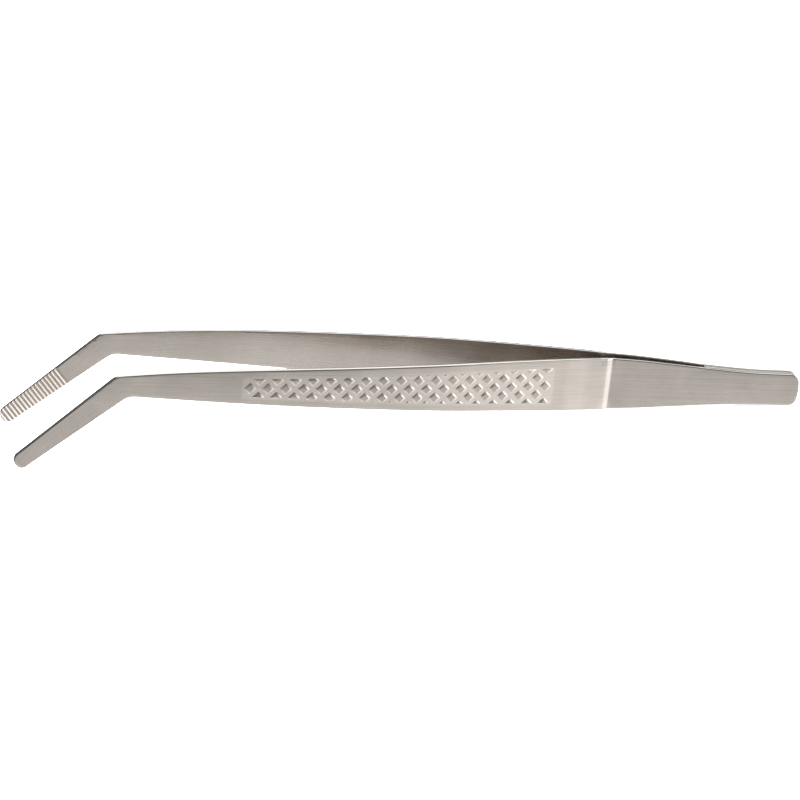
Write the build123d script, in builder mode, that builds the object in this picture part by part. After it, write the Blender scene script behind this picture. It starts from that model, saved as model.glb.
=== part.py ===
from build123d import *
import os
from math import asin, atan2, cos, degrees, hypot, radians, sin, tan

# Offset-tip spring tongs, in millimetres.
#
# Two mirrored steel strips are welded to a spacer at the tail. Each strip is a welded tail leaf, a thin
# spring leaf that flexes, and a thick arm with a studded grip and a bent, serrated jaw.
#
# The tongs are drawn in their own plane first: x runs along the arms towards the tail, y is the distance
# out from the mirror plane, z is up across the width. The stance plane then stands them on both jaw tips
# and the tail.

# Thickness of the steel
LEAF_THICKNESS = 1.0
ARM_THICKNESS = 1.65
TIP_THICKNESS = 1.4
SPACER_THICKNESS = 1.7

# The strip seen from above, from the tail to the tip
TAIL_END_X = 102.8
WELD_FRONT_X = 77.0
SPRING_LENGTH = 24.2
RAMP_LENGTH = 1.15
FLARE_LENGTH = 35.0
JAW_RUN = 48.0
SPRING_SLOPE = 1.5
FLARE_SLOPE = 10.4
BOW_SLOPE = 6.6
JAW_SLOPE = 1.3
SHOULDER_RADIUS = 8.0
KNEE_RADIUS = 200.0
BOW_RADIUS = 600.0

# The strip seen from the side: its two edges, from the bend to the tail
BEND_TOP = (-74.5, 2.15)
BEND_BOTTOM = (-71.2, -3.0)
TOP_EDGE = [
    (-57.5, 3.6),
    (-15.0, 5.3),
    (17.5, 6.15),
    (42.0, 6.4),
    (54.0, 6.2),
    (66.0, 5.35),
    (82.0, 3.9),
]
BOTTOM_EDGE = [
    (-57.5, -3.6),
    (-15.0, -5.3),
    (17.5, -6.4),
    (40.0, -7.1),
    (53.0, -7.2),
    (67.0, -6.5),
    (82.0, -5.5),
]
TAIL_TOP_Z = 3.3
TAIL_BOTTOM_Z = -5.1
TAIL_CORNER_X = 102.0
TAIL_CORNER_RADIUS = 2.0

# The bent jaw, measured along its own axis from the middle of the bend
BEND_CENTRE = (-73.05, -0.55)
JAW_ANGLE = 40.5
JAW_LENGTH = 32.05
JAW_TIP_WIDTH = 3.95
BEND_OUTER_RADIUS = 4.5
BEND_INNER_RADIUS = 3.5
TIP_TOP_RADIUS = 1.9
TIP_BOTTOM_RADIUS = 1.9

# Serrations across the inner face of the jaw
SERRATION_COUNT = 18
SERRATION_PITCH = 1.03
SERRATION_WIDTH = 0.85
SERRATION_DEPTH = 0.3
SERRATION_END_MARGIN = 0.95

# Diamond studs on the outer face of the grip: a square pattern with a second one centred in it. Each stud
# is rooted in the arm, so that the two are one piece of steel.
STUD_PITCH = 4.5
STUD_COLUMNS = 18
STUD_ROWS = 3
STUD_LENGTH = 2.7
STUD_WIDTH = 2.6
STUD_HEIGHT = 0.18
STUD_ROOT = 0.3
STUD_FIELD_START = -42.9
STUD_FIELD_END = 36.8
STUD_FIELD_TOP = (2.3, 4.4)
STUD_FIELD_BOTTOM = (-2.3, -5.0)
STUD_ROW_Z = -0.15
STUD_ROW_TILT = -0.22

# The weld beads that close the tail's top and bottom edges, over the spacer
WELD_DEPTH = 0.7

# Extrusion reach, larger than the tongs in any direction
REACH = 40.0


def heading(slope):
    """Direction towards the tips, opening away from the mirror plane by slope degrees."""
    return (-cos(radians(slope)), sin(radians(slope)))


def outwards(slope, distance):
    """Step of a distance square to a heading, away from the mirror plane."""
    return Vector(sin(radians(slope)), cos(radians(slope))) * distance


def jaw_point(along, across):
    """Side-view point in the jaw's own axes, from the middle of the bend."""
    angle = radians(JAW_ANGLE)
    x = BEND_CENTRE[0] - along * cos(angle) - across * sin(angle)
    z = BEND_CENTRE[1] - along * sin(angle) + across * cos(angle)
    return (x, z)


def draw_edges(drop=0.0):
    """The strip's top and bottom edges in side view, drawn in by a distance."""
    top = [BEND_TOP, *TOP_EDGE, (TAIL_CORNER_X, TAIL_TOP_Z)]
    bottom = [BEND_BOTTOM, *BOTTOM_EDGE, (TAIL_CORNER_X, TAIL_BOTTOM_Z)]
    upper = Spline(*[(x, z - drop) for x, z in top])
    lower = Spline(*[(x, z + drop) for x, z in bottom])
    return upper, lower


def draw_arm_face(start, depth, bow_run):
    """One long face of the arm in plan, at a depth out from its inner face, from the shoulder to the tip."""
    knee = FLARE_SLOPE - BOW_SLOPE
    bow = BOW_SLOPE - JAW_SLOPE
    shoulder = JernArc(start, heading(SPRING_SLOPE), SHOULDER_RADIUS - depth, SPRING_SLOPE - FLARE_SLOPE)
    flare = PolarLine(shoulder @ 1, FLARE_LENGTH, direction=heading(FLARE_SLOPE))
    knee_arc = JernArc(flare @ 1, heading(FLARE_SLOPE), KNEE_RADIUS + depth, knee)
    bow_arc = JernArc(knee_arc @ 1, heading(BOW_SLOPE), BOW_RADIUS + depth, bow)
    taper = degrees(asin((depth - min(depth, TIP_THICKNESS)) / bow_run))
    return PolarLine(bow_arc @ 1, bow_run, direction=heading(JAW_SLOPE - taper))


# The side outline, drawn level, gives the angle of the line that touches the tip and the tail from below.
tip_top = jaw_point(JAW_LENGTH, JAW_TIP_WIDTH / 2)
tip_bottom = jaw_point(JAW_LENGTH, -JAW_TIP_WIDTH / 2)
with BuildSketch(Plane.XZ) as level_outline:
    with BuildLine():
        top_edge, bottom_edge = draw_edges()
        ThreePointArc(top_edge @ 1, (TAIL_END_X, (TAIL_TOP_Z + TAIL_BOTTOM_Z) / 2), bottom_edge @ 1)
        Polyline(top_edge @ 0, tip_top, tip_bottom, bottom_edge @ 0)
    make_face()
    for corner, radius in [
        (BEND_TOP, BEND_OUTER_RADIUS),
        (BEND_BOTTOM, BEND_INNER_RADIUS),
        (tip_top, TIP_TOP_RADIUS),
        (tip_bottom, TIP_BOTTOM_RADIUS),
        ((TAIL_CORNER_X, TAIL_TOP_Z), TAIL_CORNER_RADIUS),
        ((TAIL_CORNER_X, TAIL_BOTTOM_Z), TAIL_CORNER_RADIUS),
    ]:
        fillet(level_outline.vertices().sort_by_distance(corner)[0], radius=radius)

round_corners = level_outline.edges().filter_by(GeomType.CIRCLE)
tip_round = round_corners.sort_by_distance(tip_bottom)[0]
tail_round = round_corners.sort_by_distance((TAIL_CORNER_X, TAIL_BOTTOM_Z))[0]
step = tail_round.arc_center - tip_round.arc_center
growth = asin((TAIL_CORNER_RADIUS - TIP_BOTTOM_RADIUS) / hypot(step.X, step.Y))
tilt = atan2(step.Y, step.X) - growth
standing = level_outline.sketch.rotate(Axis.Y, degrees(tilt)).bounding_box()
foot = Vector(-(standing.min.X + standing.max.X) / 2, 0, -standing.min.Z)
stance_x = (cos(tilt), 0, -sin(tilt))
stance_z = (sin(tilt), 0, cos(tilt))
stance = Plane(origin=foot, x_dir=stance_x, z_dir=stance_z)
side = Plane(origin=foot, x_dir=stance_x, z_dir=(0, -1, 0))
outline = side.location * Plane.XZ.location.inverse() * level_outline.sketch

# Where the spring leaf leaves the weld, and where it meets the arm
weld_front = Vector(WELD_FRONT_X, SPACER_THICKNESS / 2)
shoulder_start = weld_front + Vector(heading(SPRING_SLOPE)) * SPRING_LENGTH
ramp_end = shoulder_start + Vector(heading(SPRING_SLOPE)) * RAMP_LENGTH

# Tail leaf: flat against the spacer
with BuildPart() as right_tail_leaf:
    with BuildSketch(stance):
        with BuildLine():
            Polyline(
                weld_front,
                (TAIL_END_X, weld_front.Y),
                (TAIL_END_X, weld_front.Y + LEAF_THICKNESS),
                weld_front + outwards(SPRING_SLOPE, LEAF_THICKNESS),
                close=True,
            )
        make_face()
    extrude(amount=REACH, both=True)
    extrude(outline, amount=REACH, both=True, mode=Mode.INTERSECT)

# Spring leaf: the thin stretch between the weld and the shoulder
with BuildPart() as right_spring_leaf:
    with BuildSketch(stance):
        with BuildLine():
            Polyline(
                weld_front,
                shoulder_start,
                shoulder_start + outwards(SPRING_SLOPE, LEAF_THICKNESS),
                weld_front + outwards(SPRING_SLOPE, LEAF_THICKNESS),
                close=True,
            )
        make_face()
    extrude(amount=REACH, both=True)
    extrude(outline, amount=REACH, both=True, mode=Mode.INTERSECT)

# Studs: diamonds in the side view, cut off square where they pass the edge of the field
field_middle = (STUD_FIELD_START + STUD_FIELD_END) / 2
with BuildSketch(side) as stud_field:
    with BuildLine():
        Polyline(
            (STUD_FIELD_START, STUD_FIELD_TOP[0]),
            (STUD_FIELD_START, STUD_FIELD_BOTTOM[0]),
            (STUD_FIELD_END, STUD_FIELD_BOTTOM[1]),
            (STUD_FIELD_END, STUD_FIELD_TOP[1]),
            close=True,
        )
    make_face()

square_pattern = (STUD_COLUMNS, STUD_ROWS)
centred_pattern = (STUD_COLUMNS - 1, STUD_ROWS - 1)
with BuildSketch(side) as stud_outlines:
    for columns, rows in [square_pattern, centred_pattern]:
        with Locations(Location((field_middle, STUD_ROW_Z), STUD_ROW_TILT)):
            with GridLocations(STUD_PITCH, STUD_PITCH, columns, rows):
                Polygon(
                    (-STUD_LENGTH / 2, 0),
                    (0, -STUD_WIDTH / 2),
                    (STUD_LENGTH / 2, 0),
                    (0, STUD_WIDTH / 2),
                )
    add(stud_field.sketch_local, mode=Mode.INTERSECT)

# The studs' tops run parallel to the arm's outer face, so each one is as high as the next.
with BuildPart() as studs:
    with BuildSketch(stance):
        with BuildLine():
            root_start = ramp_end + outwards(SPRING_SLOPE, ARM_THICKNESS - STUD_ROOT)
            top_start = ramp_end + outwards(SPRING_SLOPE, ARM_THICKNESS + STUD_HEIGHT)
            root = draw_arm_face(root_start, ARM_THICKNESS - STUD_ROOT, JAW_RUN)
            top = draw_arm_face(top_start, ARM_THICKNESS + STUD_HEIGHT, JAW_RUN)
            Line(root_start, top_start)
            Line(root @ 1, top @ 1)
        make_face()
    extrude(amount=REACH, both=True)
    extrude(stud_outlines.sketch, amount=REACH, both=True, mode=Mode.INTERSECT)

# Arm: a ramp up to full thickness, the flared shoulder, the bowed grip and the straight jaw
with BuildPart() as right_arm:
    with BuildSketch(stance):
        with BuildLine():
            Line(ramp_end, shoulder_start)
            ramp_foot = shoulder_start + outwards(SPRING_SLOPE, LEAF_THICKNESS)
            ramp_top = ramp_end + outwards(SPRING_SLOPE, ARM_THICKNESS)
            Polyline(shoulder_start, ramp_foot, ramp_top)
            inner = draw_arm_face(ramp_end, 0.0, JAW_RUN)
            outer = draw_arm_face(ramp_top, ARM_THICKNESS, JAW_RUN)
            Line(inner @ 1, outer @ 1)
        make_face()
    extrude(amount=REACH, both=True)
    extrude(outline, amount=REACH, both=True, mode=Mode.INTERSECT)
    add(studs.part)
    # Serrations: notches square to the jaw's axis, in the plane of its inner face
    first_notch = JAW_LENGTH - SERRATION_END_MARGIN - SERRATION_PITCH * (SERRATION_COUNT - 1) / 2
    notch_x, notch_z = jaw_point(first_notch, 0.0)
    inner_end = inner @ 1
    notch_y = inner_end.Y - (notch_x - inner_end.X) * tan(radians(JAW_SLOPE))
    jaw_out = cos(radians(JAW_ANGLE)) * tan(radians(JAW_SLOPE))
    jaw_axis = (
        Vector(stance.x_dir) * -cos(radians(JAW_ANGLE))
        + Vector(stance.y_dir) * jaw_out
        + Vector(stance.z_dir) * -sin(radians(JAW_ANGLE))
    )
    notch_plane = Plane(
        origin=stance.from_local_coords(Vector(notch_x, notch_y, notch_z)),
        x_dir=jaw_axis,
        z_dir=jaw_axis.cross(Vector(stance.y_dir)),
    )
    with BuildSketch(notch_plane):
        with GridLocations(SERRATION_PITCH, SERRATION_PITCH, SERRATION_COUNT, 1):
            Polygon(
                (-SERRATION_WIDTH / 2, 0),
                (0, -SERRATION_DEPTH),
                (SERRATION_WIDTH / 2, 0),
                (0, SERRATION_DEPTH),
            )
    extrude(amount=JAW_TIP_WIDTH, both=True, mode=Mode.SUBTRACT)

# Left side: the same three lengths of strip, mirrored
with BuildPart() as left_tail_leaf:
    mirror(right_tail_leaf.part, about=Plane.XZ)
with BuildPart() as left_spring_leaf:
    mirror(right_spring_leaf.part, about=Plane.XZ)
with BuildPart() as left_arm:
    mirror(right_arm.part, about=Plane.XZ)

# Side view of the spacer: the tail, drawn in by the depth of the weld beads
with BuildSketch(side) as spacer_outline:
    with BuildLine():
        spacer_top, spacer_bottom = draw_edges(WELD_DEPTH)
        Polyline(
            spacer_top @ 1,
            (TAIL_END_X, TAIL_TOP_Z - WELD_DEPTH),
            (TAIL_END_X, TAIL_BOTTOM_Z + WELD_DEPTH),
            spacer_bottom @ 1,
        )
        Line(spacer_top @ 0, spacer_bottom @ 0)
    make_face()

with BuildSketch(stance) as tail_gap:
    with Locations(((WELD_FRONT_X + TAIL_END_X) / 2, 0)):
        Rectangle(TAIL_END_X - WELD_FRONT_X, SPACER_THICKNESS)

with BuildPart() as tail_spacer:
    extrude(tail_gap.sketch, amount=REACH, both=True)
    extrude(outline, amount=REACH, both=True, mode=Mode.INTERSECT)
    extrude(spacer_outline.sketch, amount=REACH, both=True, mode=Mode.INTERSECT)

# Weld beads, ground flush with the strip's edges
with BuildPart() as weld_seam_top:
    extrude(tail_gap.sketch, amount=REACH)
    extrude(outline, amount=REACH, both=True, mode=Mode.INTERSECT)
    extrude(spacer_outline.sketch, amount=REACH, both=True, mode=Mode.SUBTRACT)

with BuildPart() as weld_seam_bottom:
    extrude(tail_gap.sketch, amount=-REACH)
    extrude(outline, amount=REACH, both=True, mode=Mode.INTERSECT)
    extrude(spacer_outline.sketch, amount=REACH, both=True, mode=Mode.SUBTRACT)

os.makedirs("parts", exist_ok=True)
for node, piece in [
    ("left_arm", left_arm),
    ("right_arm", right_arm),
    ("left_spring_leaf", left_spring_leaf),
    ("right_spring_leaf", right_spring_leaf),
    ("left_tail_leaf", left_tail_leaf),
    ("right_tail_leaf", right_tail_leaf),
    ("tail_spacer", tail_spacer),
    ("weld_seam_top", weld_seam_top),
    ("weld_seam_bottom", weld_seam_bottom),
]:
    piece.part.label = node
    export_step(piece.part, f"parts/{node}.step")
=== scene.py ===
# %% [markdown]
# # Offset-tip spring tongs in brushed steel
# The tongs are two mirrored strips of stainless steel, welded to a spacer at the tail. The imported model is
# the fixed frame: it says where each body is and how it turns. This lesson builds the finished look around
# it.

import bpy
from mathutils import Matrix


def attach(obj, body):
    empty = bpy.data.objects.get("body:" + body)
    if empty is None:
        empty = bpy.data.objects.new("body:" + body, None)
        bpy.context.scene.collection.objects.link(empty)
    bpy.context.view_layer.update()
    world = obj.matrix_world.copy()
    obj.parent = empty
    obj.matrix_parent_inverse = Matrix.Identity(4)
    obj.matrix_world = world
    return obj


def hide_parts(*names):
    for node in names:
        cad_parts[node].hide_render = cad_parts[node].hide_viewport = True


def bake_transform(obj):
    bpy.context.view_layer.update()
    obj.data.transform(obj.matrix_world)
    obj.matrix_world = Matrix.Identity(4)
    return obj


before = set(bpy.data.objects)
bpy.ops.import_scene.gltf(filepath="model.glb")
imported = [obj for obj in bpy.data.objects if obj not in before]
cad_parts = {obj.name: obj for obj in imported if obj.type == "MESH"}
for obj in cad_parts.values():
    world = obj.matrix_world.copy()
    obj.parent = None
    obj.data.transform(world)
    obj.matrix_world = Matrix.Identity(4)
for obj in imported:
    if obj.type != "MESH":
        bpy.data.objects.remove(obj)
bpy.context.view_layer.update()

# %% [markdown]
# The strips are modelled lying level, with x along the arms towards the tail, y through the steel and z
# across the width. That keeps every number the size a maker would read off a drawing. At the end the piece
# is turned and lifted onto its feet: both jaw tips and the tail touch the table.

# %% Units and small helpers
import math

import bpy
import numpy as np
from mathutils import Matrix, Vector

MM = 0.001
STANCE_TILT = math.radians(4.96883)
STANCE_FOOT = Vector((-1.521, 0.0, 13.7553)) * MM
STANCE = Matrix.Translation(STANCE_FOOT) @ Matrix.Rotation(STANCE_TILT, 4, "Y")


def deselect_all():
    if bpy.context.mode != "OBJECT":
        bpy.ops.object.mode_set(mode="OBJECT")
    bpy.ops.object.select_all(action="DESELECT")


def pick(piece):
    """Makes one object the only selected one, and the active one."""
    deselect_all()
    piece.select_set(True)
    bpy.context.view_layer.objects.active = piece
    return piece


def select_parts(piece, kind, test):
    """Selects only the vertices, edges or faces of a mesh that pass a test, ready for an edit-mode tool."""
    pick(piece)
    bpy.ops.object.mode_set(mode="EDIT")
    bpy.ops.mesh.select_mode(type={"vertices": "VERT", "edges": "EDGE", "polygons": "FACE"}[kind])
    bpy.ops.mesh.select_all(action="DESELECT")
    bpy.ops.object.mode_set(mode="OBJECT")
    for part in getattr(piece.data, kind):
        part.select = test(part)
    bpy.ops.object.mode_set(mode="EDIT")


def apply_modifier(piece, kind, **settings):
    """Adds a modifier, sets it and applies it at once."""
    pick(piece)
    modifier = piece.modifiers.new(kind.title(), kind)
    for name, value in settings.items():
        setattr(modifier, name, value)
    bpy.ops.object.modifier_apply(modifier=modifier.name)


deselect_all()
print("helpers ready, tilt", round(math.degrees(STANCE_TILT), 2), "degrees")

# %% [markdown]
# ## The outline of the strip
# A blank like this is cut flat. Its top and bottom edges are long, slow curves, so they are written down as
# heights every 10 mm and joined by a smooth curve. A curve object would do it too, but plain numbers let
# the same function measure the width later.

# %% Heights of the two long edges
EDGE_STEP = 10.0
EDGE_START = -70.0
TOP_HEIGHTS = [2.597, 3.426, 4.051, 4.514, 4.867, 5.160, 5.442, 5.725, 5.985,
               6.197, 6.340, 6.399, 6.328, 5.845, 4.981, 4.064, 3.385, 3.240]
BOTTOM_HEIGHTS = [-3.053, -3.492, -3.920, -4.336, -4.736, -5.118, -5.477, -5.817, -6.149,
                  -6.485, -6.815, -7.100, -7.235, -6.934, -6.293, -5.620, -5.128, -5.046]
LAST_BAY_END = 0.9999


def smooth_height(x, heights):
    """Height of an edge at x, by a cubic through the listed heights."""
    place = min(max((x - EDGE_START) / EDGE_STEP, 0.0), len(heights) - 2 + LAST_BAY_END)
    i = int(place)
    t = place - i
    slopes = np.gradient(heights)
    a, b = heights[i], heights[i + 1]
    curve = (1 + 2 * t) * (1 - t) ** 2 * a + t * (1 - t) ** 2 * slopes[i]
    return curve + t * t * (3 - 2 * t) * b + t * t * (t - 1) * slopes[i + 1]


TAIL_MIDDLE = -0.9
TAIL_CORNER_RADIUS = 2.0
TAIL_CORNER_X = 100.54
CROWN_X = 91.4
CROWN_RADIUS = 11.4
CROWN_START = 102.48


def tail_height(x, heights):
    """Height of an edge near the tail's end, with its rounded corner and crowned end face."""
    plain = smooth_height(x, heights)
    up = 1 if plain > TAIL_MIDDLE else -1
    if x > CROWN_START:
        return TAIL_MIDDLE + up * math.sqrt(max(CROWN_RADIUS ** 2 - (x - CROWN_X) ** 2, 0.0))
    if x > TAIL_CORNER_X:
        centre = smooth_height(TAIL_CORNER_X, heights) - up * TAIL_CORNER_RADIUS
        return centre + up * math.sqrt(TAIL_CORNER_RADIUS ** 2 - (x - TAIL_CORNER_X) ** 2)
    return plain


print("width at the grip", round(smooth_height(42, TOP_HEIGHTS) - smooth_height(42, BOTTOM_HEIGHTS), 2), "mm")

# %% [markdown]
# The jaw turns down at the bend. It has its own axis, so its points are given as a distance along the jaw
# from the middle of the bend and a distance across it.

# %% The bend and the jaw
BEND_CENTRE = (-73.05, -0.55)
BEND_TOP = (-74.5, 2.15)
BEND_BOTTOM = (-71.2, -3.0)
BEND_OUTER_RADIUS = 4.5
BEND_INNER_RADIUS = 3.5
JAW_ANGLE = math.radians(40.5)
JAW_LENGTH = 32.05
JAW_TIP_WIDTH = 3.95
TIP_TOP_RADIUS = 1.9
TIP_BOTTOM_RADIUS = 1.9
ARC_STEPS = 12


def jaw_point(along, across):
    x = BEND_CENTRE[0] - along * math.cos(JAW_ANGLE) - across * math.sin(JAW_ANGLE)
    z = BEND_CENTRE[1] - along * math.sin(JAW_ANGLE) + across * math.cos(JAW_ANGLE)
    return (x, z)


def jaw_place(x, z):
    """The distance along and across the jaw of a point in side view."""
    dx, dz = x - BEND_CENTRE[0], z - BEND_CENTRE[1]
    along = -dx * math.cos(JAW_ANGLE) - dz * math.sin(JAW_ANGLE)
    across = -dx * math.sin(JAW_ANGLE) + dz * math.cos(JAW_ANGLE)
    return along, across


def rounded_path(start, corner, end, radius, count):
    """Points from start to end, evenly spaced, round a filleted corner."""
    start, corner, end = (Vector(p) for p in (start, corner, end))
    u, v = (start - corner).normalized(), (end - corner).normalized()
    half = u.angle(v) / 2
    reach = radius / math.tan(half)
    centre = corner + (u + v).normalized() * radius / math.sin(half)
    swing = math.pi - 2 * half
    side = 1 if u.x * v.y - u.y * v.x > 0 else -1
    arc_start = corner + u * reach - centre
    turns = [Matrix.Rotation(-side * swing * i / ARC_STEPS, 2) for i in range(ARC_STEPS + 1)]
    arc = [centre + turn @ arc_start for turn in turns]
    points = np.array([start, *arc, end])
    lengths = np.concatenate([[0], np.cumsum(np.linalg.norm(np.diff(points, axis=0), axis=1))])
    wanted = np.linspace(0, lengths[-1], count)
    return [tuple(float(np.interp(s, lengths, points[:, i])) for i in (0, 1)) for s in wanted]


tip_top = jaw_point(JAW_LENGTH, JAW_TIP_WIDTH / 2)
tip_bottom = jaw_point(JAW_LENGTH, -JAW_TIP_WIDTH / 2)
print("jaw tip at", [round(v, 2) for v in (*tip_top, *tip_bottom)])

# %% [markdown]
# The blank is drawn as a ladder. Each rung is a pair of points, one on the top edge and one on the bottom
# edge. Rungs stand close together where the steel will bend and further apart where it stays straight.

# %% The rungs of the ladder
BEND_STATION_X = -68.0
JAW_STATION = 7.0
BEND_RUNGS = 19
JAW_RUNG_STEP = 1.5
TAIL_END_RUNGS = [102.78, 102.73, 102.62, 102.48, 102.27, 101.96, 101.54, 101.04, 100.54]
RUNG_STRETCHES = [(98.0, 79.0, 2.0), (78.5, 75.0, 0.5), (74.0, 54.0, 2.0), (53.6, 49.4, 0.1),
                  (48.0, 16.5, 1.5), (15.0, -41.0, 1.0), (-42.0, BEND_STATION_X, 2.0)]
straight_x = list(TAIL_END_RUNGS)
for stretch_start, stretch_end, step in RUNG_STRETCHES:
    straight_x += list(np.arange(stretch_start, stretch_end, -step))
rungs = [((x, tail_height(x, TOP_HEIGHTS)), (x, tail_height(x, BOTTOM_HEIGHTS))) for x in straight_x]

straight_end = [(BEND_STATION_X, smooth_height(BEND_STATION_X, h)) for h in (TOP_HEIGHTS, BOTTOM_HEIGHTS)]
JAW_SIDES = [(Vector(BEND_TOP), Vector(tip_top)), (Vector(BEND_BOTTOM), Vector(tip_bottom))]


def jaw_edge(side, along):
    """A point on one straight edge of the jaw, at a distance along the jaw's axis."""
    a, b = JAW_SIDES[side]
    place_a, place_b = jaw_place(*a)[0], jaw_place(*b)[0]
    return a.lerp(b, (along - place_a) / (place_b - place_a))


jaw_start = [jaw_edge(side, JAW_STATION) for side in (0, 1)]
upper_bend = rounded_path(straight_end[0], BEND_TOP, jaw_start[0], BEND_OUTER_RADIUS, BEND_RUNGS)
lower_bend = rounded_path(straight_end[1], BEND_BOTTOM, jaw_start[1], BEND_INNER_RADIUS, BEND_RUNGS)
rungs += list(zip(upper_bend, lower_bend))


def tip_across(along, side):
    """How far out the jaw's edge is, with the rounded corner of the tip."""
    radius = (TIP_TOP_RADIUS, TIP_BOTTOM_RADIUS)[side]
    edge = abs(jaw_place(*jaw_edge(side, along))[1])
    over = along - (JAW_LENGTH - radius)
    return edge if over <= 0 else edge - radius + math.sqrt(max(radius ** 2 - over ** 2, 0.0))


tip_angles = [math.radians(a) for a in (0, 15, 30, 45, 60, 72, 82, 90)]
TIP_CLEARANCE = 0.3
tip_start = JAW_LENGTH - TIP_BOTTOM_RADIUS
jaw_stations = list(np.arange(JAW_STATION + JAW_RUNG_STEP, tip_start - TIP_CLEARANCE, JAW_RUNG_STEP))
jaw_stations += [JAW_LENGTH - TIP_BOTTOM_RADIUS * (1 - math.sin(a)) for a in tip_angles]
rungs += [(jaw_point(s, tip_across(s, 0)), jaw_point(s, -tip_across(s, 1))) for s in jaw_stations]
print(len(rungs), "rungs")

# %% [markdown]
# Now the blank itself. It starts as one small plane between the first two rungs. Its leading edge is then
# extruded from rung to rung: moved, turned and widened each time, as a long shape is drawn by hand.

# %% Draw the flat blank
SAME = 1e-6


def rung_facts(rung):
    """Middle, length and lean of a rung."""
    (tx, tz), (bx, bz) = rung
    middle = Vector(((tx + bx) / 2, 0, (tz + bz) / 2)) * MM
    return middle, math.hypot(tx - bx, tz - bz), math.atan2(tx - bx, tz - bz)


bpy.ops.mesh.primitive_plane_add(size=1, location=(0, 0, 0))
blank = bpy.context.active_object
blank.name = "strip_right"
first, second = rungs[0], rungs[1]
for corner, v in zip((first[1], first[0], second[1], second[0]), blank.data.vertices):
    v.co = Vector((corner[0], 0, corner[1])) * MM
bay_middle = (first[0][0] + second[0][0]) / 2 * MM
select_parts(blank, "edges", lambda e: all(blank.data.vertices[i].co.x < bay_middle for i in e.vertices))
for before, after in zip(rungs[1:], rungs[2:]):
    middle_a, length_a, lean_a = rung_facts(before)
    middle_b, length_b, lean_b = rung_facts(after)
    bpy.ops.mesh.extrude_region_move(TRANSFORM_OT_translate={"value": middle_b - middle_a})
    if abs(lean_b - lean_a) > SAME:
        bpy.ops.transform.rotate(value=-(lean_b - lean_a), orient_axis="Y", center_override=middle_b)
    bpy.ops.transform.resize(value=(length_b / length_a,) * 3, center_override=middle_b)
bpy.ops.object.mode_set(mode="OBJECT")
error = 0.0
for x, z in rungs[-1]:
    target = Vector((x, 0, z)) * MM
    error = max(error, min((v.co - target).length for v in blank.data.vertices))
print("blank has", len(blank.data.polygons), "faces, last rung off by", round(error / MM, 4), "mm")

# %% [markdown]
# ## Thickness and polished edges
# The sheet is 1.65 mm thick and its long edges are tumbled round, so no edge is sharp in the hand.
# Extruding the face gives the walls. Three insets, each raised a little, then roll every edge over. A bevel
# would do the same on a simple box, but here it would slide along the close-set rungs at the ends, and an
# inset doesn't.

# %% Thicken the blank and round its edges
ARM_THICKNESS = 1.65
OUTER_ROUND = 0.32
INNER_ROUND = 0.25
WIDE_FACE = 0.9
ROUND_STEPS = [(0.134, 0.5), (0.366, 0.366), (0.5, 0.134)]


def thicken(piece, thickness, face_round, back_round):
    """Gives a flat face its thickness along +y and rolls both rims over."""
    pick(piece)
    bpy.ops.object.mode_set(mode="EDIT")
    bpy.ops.mesh.select_all(action="SELECT")
    wall = (thickness - face_round - back_round) * MM
    bpy.ops.mesh.extrude_region_move(TRANSFORM_OT_translate={"value": (0, wall, 0)})
    bpy.ops.mesh.select_all(action="SELECT")
    bpy.ops.mesh.normals_make_consistent(inside=False)
    bpy.ops.object.mode_set(mode="OBJECT")
    for sign, radius in ((1, face_round), (-1, back_round)):
        level = wall if sign > 0 else 0.0
        select_parts(piece, "polygons",
                     lambda p: p.normal.y * sign > WIDE_FACE and abs(p.center.y - level) < SAME)
        for inward, up in ROUND_STEPS:
            bpy.ops.mesh.inset(thickness=inward * radius * MM, depth=up * radius * MM, use_boundary=True)
        bpy.ops.object.mode_set(mode="OBJECT")
    for v in piece.data.vertices:
        v.co.y += back_round * MM


thicken(blank, ARM_THICKNESS, OUTER_ROUND, INNER_ROUND)
heights = [v.co.y / MM for v in blank.data.vertices]
print("thickness", round(max(heights) - min(heights), 3), "mm,", len(blank.data.polygons), "faces")

# %% [markdown]
# The wide faces are brushed, the edges are polished. The two finishes are told apart now, while only the
# edge faces lean away from the wide ones. Later the studs and serrations lean too, and they are not
# polished.

# %% Mark the polished edges
EDGE_LEAN = 0.97
for name in ("belt_ground_steel", "polished_edge"):
    blank.data.materials.append(bpy.data.materials.new(name))
for face in blank.data.polygons:
    face.material_index = 0 if abs(face.normal.y) > EDGE_LEAN else 1
print(sum(f.material_index for f in blank.data.polygons), "polished faces of", len(blank.data.polygons))

# %% [markdown]
# ## The plan line
# Seen from above, the strip leaves the weld at a slight angle, steps up to full thickness at the shoulder,
# flares out to the grip and then curves back until the jaw is nearly straight. The line is walked in short
# steps here, so that any point of the flat blank can be looked up on it.

# %% Walk the plan line
WELD_FRONT_X = 77.0
SPACER_THICKNESS = 1.7
LEAF_THICKNESS = 1.0
TIP_THICKNESS = 1.4
SPRING_LENGTH = 24.2
RAMP_LENGTH = 1.15
FLARE_LENGTH = 35.0
JAW_RUN = 48.0
SPRING_SLOPE, FLARE_SLOPE, BOW_SLOPE, JAW_SLOPE = 1.5, 10.4, 6.6, 1.3
SHOULDER_RADIUS, KNEE_RADIUS, BOW_RADIUS = 8.0, 200.0, 600.0
WALK_STEP = 0.05
FEWEST_STEPS = 8

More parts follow.
